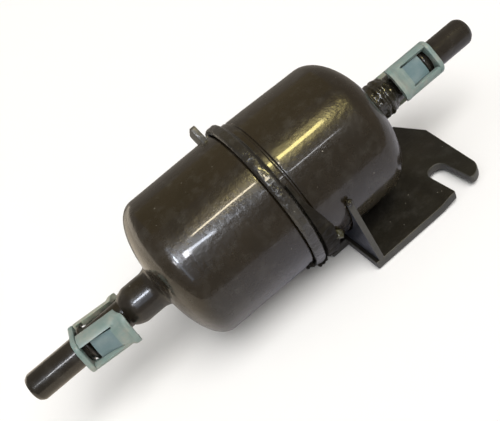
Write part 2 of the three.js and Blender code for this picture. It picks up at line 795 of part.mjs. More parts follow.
function elementSpring() {
  const wire = new THREE.Shape();
  wire.absarc(0, 0, SPRING.wireR, 0, FULL_TURN, false);
  const geometry = new THREE.ExtrudeGeometry(wire, {
    steps: SPRING.steps,
    curveSegments: SPRING.sides,
    bevelEnabled: false,
    extrudePath: new Helix(),
  });
  return named('element_spring', geometry, SPRING_STEEL);
}

// ---- assembly -----------------------------------------------------------------------------
function assemble() {
  const group = new THREE.Group();
  group.name = 'fuel_filter';
  group.add(
    inletHalfShell(),
    outletHalfShell(),
    seamSealRing(),
    seamTab(),
    inletPipe(),
    inletCollar(),
    outletPipe(),
    outletCollar(),
    ...retainer('inlet', PIPE.inletBead, 1, RETAINER.inletTurn, RETAINER.inletYaw),
    ...retainer('outlet', PIPE.outletBead, -1, RETAINER.outletTurn, RETAINER.outletYaw),
    bracketPlate(),
    bracketWeb(),
    bracketWeld('bracket_weld_near', -1),
    bracketWeld('bracket_weld_far', 1),
    webNugget(),
    bracketStrap(),
    lugWeld(),
    pleatedPaper(),
    perforatedCore(),
    inletEndCap(),
    outletEndCap(),
    outletGrommet(),
    elementSpring(),
  );
  return group;
}

// Moves every piece so that the origin is the middle of the bounding box's underside.
function seatOnBase(group) {
  const box = new THREE.Box3().setFromObject(group);
  const centre = box.getCenter(new THREE.Vector3());
  group.children.forEach((mesh) => mesh.geometry.translate(-centre.x, -centre.y, -box.min.z));
  return group;
}

export default seatOnBase(assemble());
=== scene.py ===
"""Looks of the fuel filter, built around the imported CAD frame."""
import math

import bpy
import bmesh
from mathutils import Matrix, Vector, noise


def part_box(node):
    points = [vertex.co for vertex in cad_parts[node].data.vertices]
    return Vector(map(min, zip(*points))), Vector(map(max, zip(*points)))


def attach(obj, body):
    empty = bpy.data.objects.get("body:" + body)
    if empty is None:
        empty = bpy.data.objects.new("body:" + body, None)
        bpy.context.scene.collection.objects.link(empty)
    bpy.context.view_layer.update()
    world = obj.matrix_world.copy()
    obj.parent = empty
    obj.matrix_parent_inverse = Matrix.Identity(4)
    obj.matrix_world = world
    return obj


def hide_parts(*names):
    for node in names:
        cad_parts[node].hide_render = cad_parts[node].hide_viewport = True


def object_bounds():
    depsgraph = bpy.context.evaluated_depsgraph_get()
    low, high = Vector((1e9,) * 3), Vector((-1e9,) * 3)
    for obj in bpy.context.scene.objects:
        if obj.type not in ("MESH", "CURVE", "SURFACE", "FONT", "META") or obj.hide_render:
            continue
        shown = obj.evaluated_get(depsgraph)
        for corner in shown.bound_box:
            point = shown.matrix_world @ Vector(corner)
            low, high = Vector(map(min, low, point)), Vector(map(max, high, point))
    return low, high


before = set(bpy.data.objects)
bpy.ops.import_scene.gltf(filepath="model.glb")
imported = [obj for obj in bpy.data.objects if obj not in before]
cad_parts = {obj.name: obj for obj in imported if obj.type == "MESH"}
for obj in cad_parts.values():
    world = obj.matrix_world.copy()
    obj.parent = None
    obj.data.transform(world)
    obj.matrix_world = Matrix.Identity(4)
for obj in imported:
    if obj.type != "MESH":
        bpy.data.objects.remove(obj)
CAD_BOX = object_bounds()

# ---- where things are -----------------------------------------------------------------------
MM = 0.001
INLET_TIP_X = -83.5
pipe_lo, pipe_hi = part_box("inlet_pipe")
AXIS = Vector((pipe_lo.x - INLET_TIP_X * MM, (pipe_lo.y + pipe_hi.y) / 2, (pipe_lo.z + pipe_hi.z) / 2))
FLOOR_Z = CAD_BOX[0].z

# ---- small mesh helpers -----------------------------------------------------------------------
SHARP_ANGLE = math.radians(38)
SQUARE_ON = 0.8
FINE_ANGLE = math.radians(4)


def to_frame(point):
    """Row-frame metres of a point given in millimetres from the canister's axis."""
    return AXIS + Vector(point) * MM


def settle(mesh):
    """Faces outwards, smooth except across sharp edges."""
    bm = bmesh.new()
    bm.from_mesh(mesh)
    bmesh.ops.recalc_face_normals(bm, faces=bm.faces)
    for face in bm.faces:
        face.smooth = True
    for edge in bm.edges:
        if len(edge.link_faces) == 2:
            edge.smooth = edge.calc_face_angle(0.0) < SHARP_ANGLE
    bm.to_mesh(mesh)
    bm.free()


def make_piece(name, shape, material, node, body="canister"):
    """A new mesh piece from a shape's points and faces, riding on a body in place of a CAD node."""
    points, faces = shape
    mesh = bpy.data.meshes.new(name)
    mesh.from_pydata([to_frame(p) for p in points], [], faces)
    mesh.materials.append(material)
    settle(mesh)
    piece = bpy.data.objects.new(name, mesh)
    bpy.context.scene.collection.objects.link(piece)
    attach(piece, body)
    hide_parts(node)
    return piece


def soften(outline, radius, steps=4, flat=math.radians(12)):
    """The closed outline with each real corner swapped for a small curve."""
    out = []
    n = len(outline)
    for i in range(n):
        before, here, after = (Vector(outline[(i + k) % n]) for k in (-1, 0, 1))
        arrive, leave = here - before, after - here
        if arrive.length < 1e-9 or leave.length < 1e-9:
            continue
        if arrive.angle(leave) < flat:
            out.append(tuple(here))
            continue
        cut = min(radius, arrive.length * 0.45, leave.length * 0.45)
        a, b = here - arrive.normalized() * cut, here + leave.normalized() * cut
        for k in range(steps + 1):
            t = k / steps
            out.append(tuple((1 - t) ** 2 * a + 2 * t * (1 - t) * here + t * t * b))
    return out


def densify(outline, longest):
    """The closed outline with long runs cut into shorter ones."""
    out = []
    for i, here in enumerate(outline):
        here, after = Vector(here), Vector(outline[(i + 1) % len(outline)])
        cuts = max(1, math.ceil((after - here).length / longest))
        out.extend(tuple(here.lerp(after, k / cuts)) for k in range(cuts))
    return out


def lathe(outline, segments, shape=None):
    """Points and faces of a closed (x, r) outline turned about the canister's axis."""
    points, faces = [], []
    n = len(outline)
    for j in range(segments):
        turn = 2 * math.pi * j / segments
        for x, r in outline:
            if shape:
                x, r = shape(x, r, turn)
            points.append((x, r * math.cos(turn), r * math.sin(turn)))
    for j in range(segments):
        for i in range(n):
            a, b = j * n + i, j * n + (i + 1) % n
            c, d = ((j + 1) % segments) * n + (i + 1) % n, ((j + 1) % segments) * n + i
            faces.append((a, b, c, d))
    return points, faces


def lumps(point, size, depth):
    """Smooth seeded unevenness at a point, within plus or minus depth."""
    return noise.noise(Vector(point) / size) * depth


# ---- materials --------------------------------------------------------------------------------
# how many lumps, specks or patches of each kind there are in a metre of surface
TINT_DRIFT, DUST_FILM, DUST_SPECKS, SPECK_CHOICE = 45.0, 240.0, 420.0, 900.0
DULL_PATCHES, ORANGE_PEEL, FINE_PEEL = 130.0, 620.0, 2400.0
PLASTIC_CLOUDS, PLASTIC_SCUFFS = 210.0, 520.0
DUST_TINT, SPECK_TINT = (0.075, 0.07, 0.06), (0.32, 0.3, 0.25)


def new_material(name):
    """An empty node material and its principled shader."""
    material = bpy.data.materials.new(name)
    material.use_nodes = True
    nodes = material.node_tree.nodes
    nodes.clear()
    output = nodes.new("ShaderNodeOutputMaterial")
    shader = nodes.new("ShaderNodeBsdfPrincipled")
    material.node_tree.links.new(shader.outputs[0], output.inputs[0])
    return material, shader


def add(material, kind, inputs=None, **settings):
    """A new node, with its inputs linked to sockets or set to values."""
    node = material.node_tree.nodes.new(kind)
    for key, value in settings.items():
        setattr(node, key, value)
    for key, value in (inputs or {}).items():
        if isinstance(value, bpy.types.NodeSocket):
            material.node_tree.links.new(value, node.inputs[key])
        else:
            node.inputs[key].default_value = value
    return node


def place_coords(material):
    """The object's own coordinates, in metres."""
    return add(material, "ShaderNodeTexCoord").outputs["Object"]


def noise_at(material, scale, detail=3.0, rough=0.5, coords=None, stretch=None):
    coords = coords or place_coords(material)
    if stretch:
        coords = add(material, "ShaderNodeMapping", {"Vector": coords, "Scale": stretch}).outputs[0]
    settings = {"Vector": coords, "Scale": scale, "Detail": detail, "Roughness": rough}
    return add(material, "ShaderNodeTexNoise", settings).outputs["Fac"]


def ramp(material, value, stops):
    """A colour read off at the value, between coloured stops."""
    node = add(material, "ShaderNodeValToRGB", {"Fac": value})
    elements = node.color_ramp.elements
    while len(elements) > 1:
        elements.remove(elements[-1])
    for k, (where, colour) in enumerate(stops):
        element = elements[0] if k == 0 else elements.new(where)
        element.position = where
        element.color = (*colour, 1)
    return node.outputs["Color"]


def level(material, value, low, high, to_low, to_high):
    """The value moved from one range to another, and held inside it."""
    limits = {"From Min": low, "From Max": high, "To Min": to_low, "To Max": to_high}
    return add(material, "ShaderNodeMapRange", {"Value": value, **limits}).outputs[0]


def mix(material, factor, a, b):
    """Two colours mixed; each input is a socket or a value."""
    node = add(material, "ShaderNodeMix", data_type="RGBA")
    for socket, value in ((node.inputs[0], factor), (node.inputs[6], a), (node.inputs[7], b)):
        if isinstance(value, bpy.types.NodeSocket):
            material.node_tree.links.new(value, socket)
        elif socket.type == "RGBA":
            socket.default_value = (*value, 1)
        else:
            socket.default_value = value
    return node.outputs[2]


def bump(material, height, strength, distance, under=None):
    inputs = {"Height": height, "Strength": strength, "Distance": distance}
    if under:
        inputs["Normal"] = under
    return add(material, "ShaderNodeBump", inputs).outputs[0]


def link(material, source, shader, socket):
    material.node_tree.links.new(source, shader.inputs[socket])


def painted(name, dark, light, rough=(0.16, 0.3), peel=0.1, coat=0.6, grime=0.35, seed=0.0, shine=0.5):
    """Glossy brown-black paint: slow tint drift, orange peel, dust specks and worn dull spots."""
    material, shader = new_material(name)
    coords = add(material, "ShaderNodeMapping",
                 {"Vector": place_coords(material), "Location": (seed, seed * 0.7, -seed)}).outputs[0]
    drift = noise_at(material, TINT_DRIFT, 4.0, 0.6, coords)
    colour = ramp(material, drift, [(0.3, dark), (0.7, light)])
    film = noise_at(material, DUST_FILM, 5.0, 0.65, coords)
    dusty = level(material, film, 0.5, 0.78, 0.0, grime)
    colour = mix(material, dusty, colour, DUST_TINT)
    specks = add(material, "ShaderNodeTexVoronoi", {"Vector": coords, "Scale": DUST_SPECKS})
    near = level(material, specks.outputs["Distance"], 0.05, 0.11, 1.0, 0.0)
    chosen = level(material, noise_at(material, SPECK_CHOICE, 2.0, 0.5, coords), 0.6, 0.66, 0.0, 1.0)
    dots = add(material, "ShaderNodeMath", {0: near, 1: chosen}, operation="MULTIPLY").outputs[0]
    colour = mix(material, dots, colour, SPECK_TINT)
    link(material, colour, shader, "Base Color")
    dull = noise_at(material, DULL_PATCHES, 4.0, 0.6, coords)
    link(material, level(material, dull, 0.3, 0.75, *rough), shader, "Roughness")
    skin = bump(material, noise_at(material, ORANGE_PEEL, 2.0, 0.5, coords), peel, 0.6 * MM)
    skin = bump(material, noise_at(material, FINE_PEEL, 2.0, 0.5, coords), peel * 0.6, 0.2 * MM, skin)
    link(material, skin, shader, "Normal")
    shader.inputs["Metallic"].default_value = 0.0
    shader.inputs["Coat Weight"].default_value = coat
    shader.inputs["Coat Roughness"].default_value = 0.06
    shader.inputs["Specular IOR Level"].default_value = shine
    return material


def plastic(name, deep, middle, pale_tint):
    """Translucent blue-green moulded plastic with scuffs and cloudy tint."""
    material, shader = new_material(name)
    coords = place_coords(material)
    cloud = noise_at(material, PLASTIC_CLOUDS, 3.0, 0.55, coords)
    colour = ramp(material, cloud, [(0.3, deep), (0.52, middle), (0.72, pale_tint)])
    scuff = noise_at(material, PLASTIC_SCUFFS, 4.0, 0.7, coords, stretch=(1.0, 3.0, 3.0))
    colour = mix(material, level(material, scuff, 0.52, 0.75, 0.0, 0.45), colour, pale_tint)
    link(material, colour, shader, "Base Color")
    link(material, level(material, scuff, 0.3, 0.8, 0.3, 0.5), shader, "Roughness")
    link(material, bump(material, scuff, 0.12, 0.3 * MM), shader, "Normal")
    shader.inputs["Subsurface Weight"].default_value = 0.35
    shader.inputs["Subsurface Radius"].default_value = (0.6, 1.0, 0.9)
    shader.inputs["Subsurface Scale"].default_value = 1.5 * MM
    return material


def grained(name, dark, light, metallic, rough, scale, depth=0.1):
    """A bare metal, paper or rubber with one even grain."""
    material, shader = new_material(name)
    grain = noise_at(material, scale, 4.0, 0.6)
    link(material, ramp(material, grain, [(0.3, dark), (0.7, light)]), shader, "Base Color")
    link(material, level(material, grain, 0.3, 0.7, *rough), shader, "Roughness")
    link(material, bump(material, grain, depth, 0.3 * MM), shader, "Normal")
    shader.inputs["Metallic"].default_value = metallic
    return material


CAN_PAINT = painted("can_paint", (0.012, 0.0086, 0.0045), (0.021, 0.015, 0.0082), rough=(0.2, 0.34),
                    peel=0.16)
BAND_PAINT = painted("band_paint", (0.012, 0.0105, 0.0085), (0.036, 0.032, 0.025), rough=(0.16, 0.42),
                     peel=0.9, coat=0.55, grime=0.6, seed=3.1)
PIPE_PAINT = painted("pipe_paint", (0.010, 0.008, 0.0055), (0.020, 0.0155, 0.0105), rough=(0.2, 0.36),
                     peel=0.14, coat=0.5, grime=0.3, seed=5.3)
BRACKET_PAINT = painted("bracket_paint", (0.008, 0.007, 0.005), (0.016, 0.0135, 0.009), rough=(0.4, 0.58),
                        peel=0.2, coat=0.03, grime=0.3, seed=7.7)
EDGE_PAINT = painted("edge_paint", (0.034, 0.033, 0.029), (0.068, 0.065, 0.056), rough=(0.4, 0.6),
                     peel=0.5, coat=0.05, grime=0.5, seed=8.3)
# painted light: a bluish copy of the bracket paint for the bluish light on the web's face towards the inlet
WEB_LIT_FACE_PAINT = painted("web_painted_blue_light", (0.014, 0.0155, 0.023), (0.028, 0.031, 0.043), rough=(0.35, 0.5),
                    peel=0.2, coat=0.15, grime=0.3, seed=8.9)
STRAP_PAINT = painted("strap_paint", (0.005, 0.004, 0.002), (0.014, 0.011, 0.006), rough=(0.45, 0.7),
                      peel=0.6, coat=0.0, grime=0.3, seed=2.2, shine=0.2)
KNOB_PAINT = painted("knob_paint", (0.014, 0.014, 0.005), (0.062, 0.06, 0.027), rough=(0.3, 0.5),
                     peel=0.7, coat=0.3, grime=0.6, seed=1.3)
WELD_PAINT = painted("weld_paint", (0.012, 0.010, 0.006), (0.032, 0.028, 0.018), rough=(0.12, 0.34),
                     peel=0.5, coat=0.8, grime=0.5, seed=9.2)
FILLET_PAINT = painted("fillet_paint", (0.006, 0.005, 0.004), (0.012, 0.010, 0.0075), rough=(0.5, 0.7),
                       peel=0.12, coat=0.0, grime=0.0, seed=9.2, shine=0.2)
SLEEVE_PAINT = painted("sleeve_paint", (0.012, 0.0095, 0.007), (0.023, 0.018, 0.0125), rough=(0.24, 0.4),
                       peel=0.2, coat=0.4, grime=0.3, seed=6.1)
EAR_PAINT = painted("ear_paint", (0.05, 0.045, 0.035), (0.09, 0.082, 0.065), rough=(0.3, 0.5),
                    peel=0.3, coat=0.3, grime=0.5, seed=4.4)
TEAL = plastic("teal_plastic", (0.17, 0.245, 0.23), (0.22, 0.28, 0.26), (0.30, 0.32, 0.28))
# painted shade: a darker, bluish copy of the teal plastic for the shade on the leaning tongues
TEAL_SHADED = plastic("teal_plastic_painted_shade", (0.12, 0.19, 0.205), (0.15, 0.22, 0.235), (0.20, 0.26, 0.265))
# painted light: a paler, warmer copy of the teal plastic for the warm light falling on the rear legs
TEAL_LIT_WARM = plastic("teal_plastic_painted_warm_light", (0.27, 0.31, 0.26), (0.35, 0.36, 0.29), (0.46, 0.45, 0.37))
PAPER = grained("filter_paper", (0.50, 0.33, 0.14), (0.66, 0.48, 0.25), 0.0, (0.8, 0.95), 900.0, 0.25)
TIN = grained("tinplate", (0.42, 0.43, 0.44), (0.62, 0.63, 0.64), 0.95, (0.22, 0.45), 160.0)
RUBBER = grained("black_rubber", (0.010, 0.010, 0.011), (0.03, 0.03, 0.03), 0.0, (0.6, 0.85), 800.0, 0.2)
STEEL = grained("spring_steel", (0.22, 0.23, 0.24), (0.42, 0.43, 0.45), 1.0, (0.2, 0.4), 500.0)

# ---- sizes, in millimetres from the canister's axis ---------------------------------------------
CAN = dict(rim=25.3, wall=1.0, inlet=(-26.2, 25.0, -36.6), outlet=(37.6, 24.5, 49.6), power=2.2, steps=20,
           soft=0.35, wave_size=9.0, wave_depth=0.035)
SEAM = dict(groove=4.15, floor=25.05, lip_x=4.5, lip_r=25.7, channel=5.25, flange=5.4, flange_back=6.2,
            flange_r=26.4, channel_back=6.95, channel_r=26.6, outer=27.2, end=8.0, round=0.5, tuck=0.3,
            skirt=10.35, skirt_groove=0.75, skirt_depth=0.65, skirt_slope=0.1, skirt_drop=0.15,
            rough_from=(3.9, 4.6), rough_to=(8.3, 9.2), band_reach=0.9)
PIPE = dict(outer=4.75, bore=3.85, bead_r=6.0, bead_half=0.9, lead=1.2, lead_r=4.05, fit=4.9, soft=0.4)
INLET = dict(tip=-83.5, bead=-62.6, foot=-30.5, turn=76, yaw=-4.5, toward=1)
OUTLET = dict(tip=92.1, bead=72.4, foot=41.0, turn=53, yaw=0.0, toward=-1)
SLEEVE = dict(start=-48.7, lip=0.15, neck=5.7, neck_length=1.1, full=6.45, swell_length=3.1, face=-36.1,
              flare=1.5, flare_length=2.2, flare_bend=0.55, soft=0.9)
BRAZE = dict(root=49.75, first=52.3, rise=52.75, middle=54.85, last=57.1, valley=5.8, ridge=6.5, crest=0.75,
             collar=((57.3, 6.0), (58.2, 5.95)), neck=(58.5, 5.3), end=59.2, end_r=5.1, soft=0.6, ripples=17)
CLIP = dict(half_width=6.1, half_height=7.8, corner=3.6, back=-3.6, front=-1.9, bore=5.05, thick=1.2,
            side=1.2, start=-1.82, end=13.5, window=4.1, window_end=8.5, window_edge=0.1, rail_s=4.3,
            tongue=3.35, tongue_tip=1.3, tongue_drop=1.3, tongue_dish=0.35, hook_from=10.5,
            hook_full=12.4, hook_rise=1.6, hinge_x=-0.8, hinge_z=7.2, squeeze=4.3, pipe_room=4.98,
            end_round=1.9, start_slant=0.075, waist=0.35, waist_x=9.6, edge=0.5)
CLIP["flat"] = CLIP["half_width"] - CLIP["corner"]
CLIP["side_s"] = CLIP["flat"] + CLIP["corner"] * math.pi / 2
# how far round the pipe and its bead a retainer's points stay: radii, and X behind and ahead of the bead
ROOM = dict(pipe_r=5.02, bead_r=6.25, behind=1.05, ahead_r=6.2, ahead=1.3)
PLATE = dict(x0=18.7, x1=65.1, lip=-28.5, far=13.5, top=-25.6, thick=3.0, joggle=(46.4, 50.2), rise=1.0,
             joggle_soft=0.8, joggle_cuts=8, slot=(52.4, 59.1), slot_depth=14.3, slot_corner=3.1,
             slot_lead=0.6, prong=5.9, prong_start=-83, shoulder=(67.8, 1.0), chamfer=63.2, foot_x=12.2,
             foot_y=(-12.6, 8.0))
WEB = dict(x0=19.9, x1=21.9, top_y=-25.9, top_z=-1.6, inner_y=-4.0, off_can=0.12, foot=0.1, curve_foot=1.6)
WELD = dict(x0=23.5, x1=37.6, inner=4.5, outer=9.3, crown=2.3, sunk=0.1, steps=60, sides=16)
STRAP = dict(x0=8.75, seat=25.45, sunk=0.1, thin=1.1, thick=1.9, lug_x=13.2, lug_top=-2.0, lug_ease=1.2,
             bottom=-40.0, steps=90, columns=5,
             stations=[(35.7, 9.2), (23.5, 9.8), (13.0, 11.2), (3.0, 12.5), (-4.0, 12.9)])
TAB = dict(x=2.4, thick=1.9, width=12.0, top=30.2, corner=1.0, angle=50.9, lean=0.35, sunk=0.2, toe=1.08,
           toe_overlap=0.3, toe_height=0.7)
# weld spatter on the near side: X, elevation, size and how far it stands off the strap's seat
SPATTER = [(9.4, -43.5, 1.15, 0.0), (11.3, -42.0, 1.45, 0.0), (13.0, -38.5, 1.1, 0.0),
           (8.6, -49.0, 0.8, 0.0), (3.4, -41.5, 0.75, -0.2), (2.2, -44.5, 0.6, -0.2), (4.1, -46.5, 0.9, -0.1),
           (5.4, -43.0, 0.65, 1.5), (6.9, -45.5, 0.8, 1.4), (7.8, -40.5, 0.6, 1.4)]
CAN_SIDES, PIPE_SIDES, BRAZE_SIDES = 168, 96, 128


def arc(centre, radius, start, end, steps=10):
    """Points on a circle from start to end, in degrees."""
    angles = [math.radians(start + (end - start) * k / steps) for k in range(steps + 1)]
    return [(centre[0] + radius * math.cos(a), centre[1] + radius * math.sin(a)) for a in angles]


def ease(value, low, high):
    """0 up to low, 1 from high on, and a smooth climb between."""
    t = min(1.0, max(0.0, (value - low) / (high - low)))
    return t * t * (3 - 2 * t)


def bevelled(piece, width, segments=2, angle=50):
    """Rounds a piece's hard edges in its mesh."""
    bm = bmesh.new()
    bm.from_mesh(piece.data)
    hard = [e for e in bm.edges if len(e.link_faces) == 2 and e.calc_face_angle(0.0) > math.radians(angle)]
    bmesh.ops.bevel(bm, geom=hard, offset=width * MM, segments=segments, profile=0.6, affect="EDGES",
                    clamp_overlap=True)
    bm.to_mesh(piece.data)
    bm.free()
    settle(piece.data)
    return piece


# ---- canister -----------------------------------------------------------------------------------
DOME_HOLE_LAND = 1.2


def dome(end, hole, inset):
    """(x, r) points of a domed end, from its shoulder to its hole."""
    shoulder_x, shoulder_r, tip = end
    tip -= math.copysign(inset, tip - shoulder_x)
    radius = shoulder_r - inset
    points = []
    for k in range(CAN["steps"]):
        along = math.sin(k / CAN["steps"] * math.pi / 2)
        r = radius * (1 - along ** CAN["power"]) ** (1 / CAN["power"])
        if r > hole + DOME_HOLE_LAND:
            points.append((shoulder_x + (tip - shoulder_x) * along, r))
    return points + [(tip, hole)]


def shell_wave(x, r, turn):
    """The long shallow waves of a drawn and painted shell."""
    spot = (x, CAN["rim"] * math.cos(turn), CAN["rim"] * math.sin(turn))
    return x, r + lumps(spot, CAN["wave_size"], CAN["wave_depth"]) * ease(r, PIPE["fit"], CAN["rim"])


def crimp_wave(x, r, turn):
    """The shell's waves, and the rougher rolled band of the crimp."""
    x, r = shell_wave(x, r, turn)
    rolled = ease(x, *SEAM["rough_from"]) * (1 - ease(x, *SEAM["rough_to"]))
    rolled *= ease(r, SEAM["lip_r"], SEAM["channel_r"])
    spot = (x, CAN["rim"] * math.cos(turn), CAN["rim"] * math.sin(turn))
    return x, r + rolled * (lumps(spot, 2.6, 0.18) + lumps(spot, 1.1, 0.16) + lumps(spot, 0.6, 0.07) - 0.06)


def inlet_half():
    """The inner half of the shell, with the flange that the crimp closes over."""
    wall, rim, seam = CAN["wall"], CAN["rim"], SEAM
    outer = dome(CAN["inlet"], PIPE["fit"], 0.0)[::-1]
    inner = dome(CAN["inlet"], PIPE["fit"], wall)
    mouth = [(seam["groove"], rim), (seam["groove"] + seam["round"], seam["floor"]),
             (seam["flange"], seam["floor"]), (seam["flange"], seam["flange_r"]),
             (seam["flange_back"], seam["flange_r"]), (seam["flange_back"], seam["floor"] - wall),
             (seam["groove"], rim - wall - seam["tuck"])]
    outline = densify(soften(outer + mouth + inner, CAN["soft"]), 2.2)
    make_piece("inlet_shell_skin", lathe(outline, CAN_SIDES, shell_wave), CAN_PAINT,
               "inlet_half_shell")


def outlet_half():
    """The outer half of the shell: the rolled band of the crimp, a fine groove beside it, and the dome."""
    wall, rim, seam, bend = CAN["wall"], CAN["rim"], SEAM, SEAM["round"]
    shoulder, skirt, groove_floor = seam["outer"] - bend, seam["skirt"], rim - seam["skirt_depth"]
    groove_end, slope = skirt + seam["skirt_groove"], seam["skirt_slope"]
    crimp = [(seam["channel"], seam["lip_r"]), (seam["lip_x"], seam["lip_r"]), (seam["lip_x"], shoulder),
             (seam["channel"], seam["outer"]), (seam["end"] - bend, seam["outer"]), (seam["end"], shoulder),
             (seam["end"] + bend, rim), (skirt, rim), (skirt + slope, groove_floor),
             (groove_end, groove_floor), (groove_end + 2 * slope, rim - seam["skirt_drop"])]
    outer = dome(CAN["outlet"], PIPE["fit"], 0.0)
    inner = dome(CAN["outlet"], PIPE["fit"], wall)[::-1]
    mouth = [(seam["channel_back"], rim - wall), (seam["channel_back"], seam["channel_r"]),
             (seam["channel"], seam["channel_r"])]
    outline = densify(soften(crimp + outer + inner + mouth, CAN["soft"]), 1.4)
    skin = make_piece("outlet_shell_skin", lathe(outline, CAN_SIDES, crimp_wave), CAN_PAINT,
                      "outlet_half_shell")
    skin.data.materials.append(BAND_PAINT)
    for face in skin.data.polygons:
        x = (face.center.x - AXIS.x) / MM
        if x < seam["end"] + seam["band_reach"]:
            face.material_index = 1


def prism(outline, low, high, upright=False):
    """Points and faces of a (y, z) outline drawn out along X, or of an (x, y) outline drawn out along Z."""
    count = len(outline)
    points = [(u, v, end) if upright else (end, u, v) for end in (low, high) for u, v in outline]
    faces = [tuple(range(count))[::-1], tuple(range(count, 2 * count))]
    faces += [(k, (k + 1) % count, count + (k + 1) % count, count + k) for k in range(count)]
    return points, faces


def seam_ear():
    """Upright ear beside the crimp, bent a little away from it, with soft corners and a welded toe."""
    half, foot, corner = TAB["width"] / 2, CAN["rim"] - TAB["sunk"], TAB["corner"]
    outline = arc((half - corner, TAB["top"] - corner), corner, 0, 90, 5)
    outline += arc((corner - half, TAB["top"] - corner), corner, 90, 180, 5)
    outline += [(y, math.sqrt(foot * foot - y * y)) for y in (-half, -half / 2, 0, half / 2, half)]
    x0, x1 = TAB["x"] - TAB["thick"] / 2, TAB["x"] + TAB["thick"] / 2
    upright, faces = prism(outline, x0, x1)
    upright = [(x - TAB["lean"] * ease(z, foot, TAB["top"]), y, z) for x, y, z in upright]
    toe_corners = ((half, 0.0), (half, TAB["toe_height"]), (-half, TAB["toe_height"]), (-half, 0.0))
    toe_outline = [(y, math.sqrt(foot * foot - y * y) + lift) for y, lift in toe_corners]
    toe, toe_faces = prism(toe_outline, x1 - TAB["toe_overlap"], x1 + TAB["toe"])
    faces += [tuple(len(upright) + k for k in face) for face in toe_faces]
    tilt = Matrix.Rotation(math.radians(TAB["angle"] - 90), 3, "X")
    points = [tilt @ Vector(point) for point in upright + toe]
    bevelled(make_piece("seam_ear", (points, faces), EAR_PAINT, "seam_tab"), 0.28)


# ---- pipes --------------------------------------------------------------------------------------
def pipe(name, end):
    """One end's pipe, with its lead-in and the bead that the fuel line locks behind."""
    tip, bead, foot, way = end["tip"], end["bead"], end["foot"], -end["toward"]
    half, outer, lead = PIPE["bead_half"], PIPE["outer"], PIPE["lead"]
    outline = [(tip, PIPE["bore"]), (tip, PIPE["lead_r"]), (tip - way * lead / 2, outer - lead / 4),
               (tip - way * lead, outer), (bead + way * half, outer), (bead + way * half / 2, PIPE["bead_r"]),
               (bead - way * half / 2, PIPE["bead_r"]), (bead - way * half, outer), (foot, outer),
               (foot, PIPE["bore"])]
    outline = densify(soften(outline, PIPE["soft"]), 1.6)
    make_piece(name + "_tube", lathe(outline, PIPE_SIDES, pipe_wave), PIPE_PAINT, name)


def pipe_wave(x, r, turn):
    """The faint unevenness of a painted pipe."""
    return x, r + lumps((x, PIPE["outer"] * math.cos(turn), PIPE["outer"] * math.sin(turn)), 3.5, 0.018)


def inlet_sleeve():
    """Swelling of the inlet pipe, with a fillet of paint where it meets the dome."""
    bore, full, start, face = PIPE["fit"], SLEEVE["full"], SLEEVE["start"], SLEEVE["face"]
    outline = [(start, bore), (start, bore + SLEEVE["lip"]), (start + SLEEVE["neck_length"], SLEEVE["neck"]),
               (start + SLEEVE["swell_length"], full), (face - SLEEVE["flare_length"], full),
               (face - SLEEVE["flare_bend"], full + SLEEVE["flare"] * 0.4), (face, full + SLEEVE["flare"]),
               (face, bore)]
    outline = densify(soften(outline, SLEEVE["soft"], 7, FINE_ANGLE), 1.0)
    make_piece("inlet_sleeve", lathe(outline, PIPE_SIDES, pipe_wave), SLEEVE_PAINT,
               "inlet_collar")


def braze_wave(x, r, turn):
    """Rough rippled beads of braze round the foot of the outlet pipe."""
    if r < PIPE["fit"] + 0.05:
        return x, r
    spot = (x, 6.2 * math.cos(turn), 6.2 * math.sin(turn))
    ripple = 0.07 * math.sin(turn * BRAZE["ripples"] + 2.2 * math.sin(turn * 3) + x)
    x += lumps(spot, 4.0, 0.3) * ease(r, 5.2, 5.9)
    return x, r + lumps(spot, 1.5, 0.22) + lumps(spot, 0.7, 0.1) + ripple


def outlet_braze():
    """Two beads of braze and the small collar beside them."""
    bore, ridge, valley, crest = PIPE["fit"], BRAZE["ridge"], BRAZE["valley"], BRAZE["crest"]
    middle = BRAZE["middle"]
    outline = [(BRAZE["root"], bore), (BRAZE["root"], valley), (BRAZE["first"], valley),
               (BRAZE["rise"] + crest, ridge), (middle - crest, ridge), (middle, valley),
               (middle + crest, ridge), (BRAZE["last"] - crest, ridge), *BRAZE["collar"], BRAZE["neck"],
               (BRAZE["end"], BRAZE["end_r"]), (BRAZE["end"], bore)]
    outline = densify(soften(outline, BRAZE["soft"], 5, FINE_ANGLE), 0.5)
    make_piece("outlet_braze", lathe(outline, BRAZE_SIDES, braze_wave), WELD_PAINT,
               "outlet_collar")


# ---- retainers ----------------------------------------------------------------------------------
def rim_point(s):
    """(y, z) of the retainer's rounded outline, at arc length s from its crown."""
    corner, turned = CLIP["corner"], (abs(s) - CLIP["flat"]) / CLIP["corner"]
    if turned <= 0:
        y, z = abs(s), CLIP["half_height"]
    elif turned <= math.pi / 2:
        y = CLIP["flat"] + corner * math.sin(turned)
        z = CLIP["half_height"] - corner * (1 - math.cos(turned))
    else:
        y, z = CLIP["half_width"], CLIP["half_height"] - corner - (abs(s) - CLIP["side_s"])
    return math.copysign(y, s), z


def rim_inward(s, reach=0.05):
    """Unit (y, z) pointing into the retainer at arc length s."""
    along = (Vector(rim_point(s + reach)) - Vector(rim_point(s - reach))).normalized()
    return Vector((along.y, -along.x))


def steps_between(stops, longest):
    """The stops with even steps put in between, none longer than longest."""
    out = []
    for a, b in zip(stops, stops[1:]):
        count = max(1, math.ceil((b - a) / longest))
        out += [a + (b - a) * k / count for k in range(count)]
    return out + [stops[-1]]


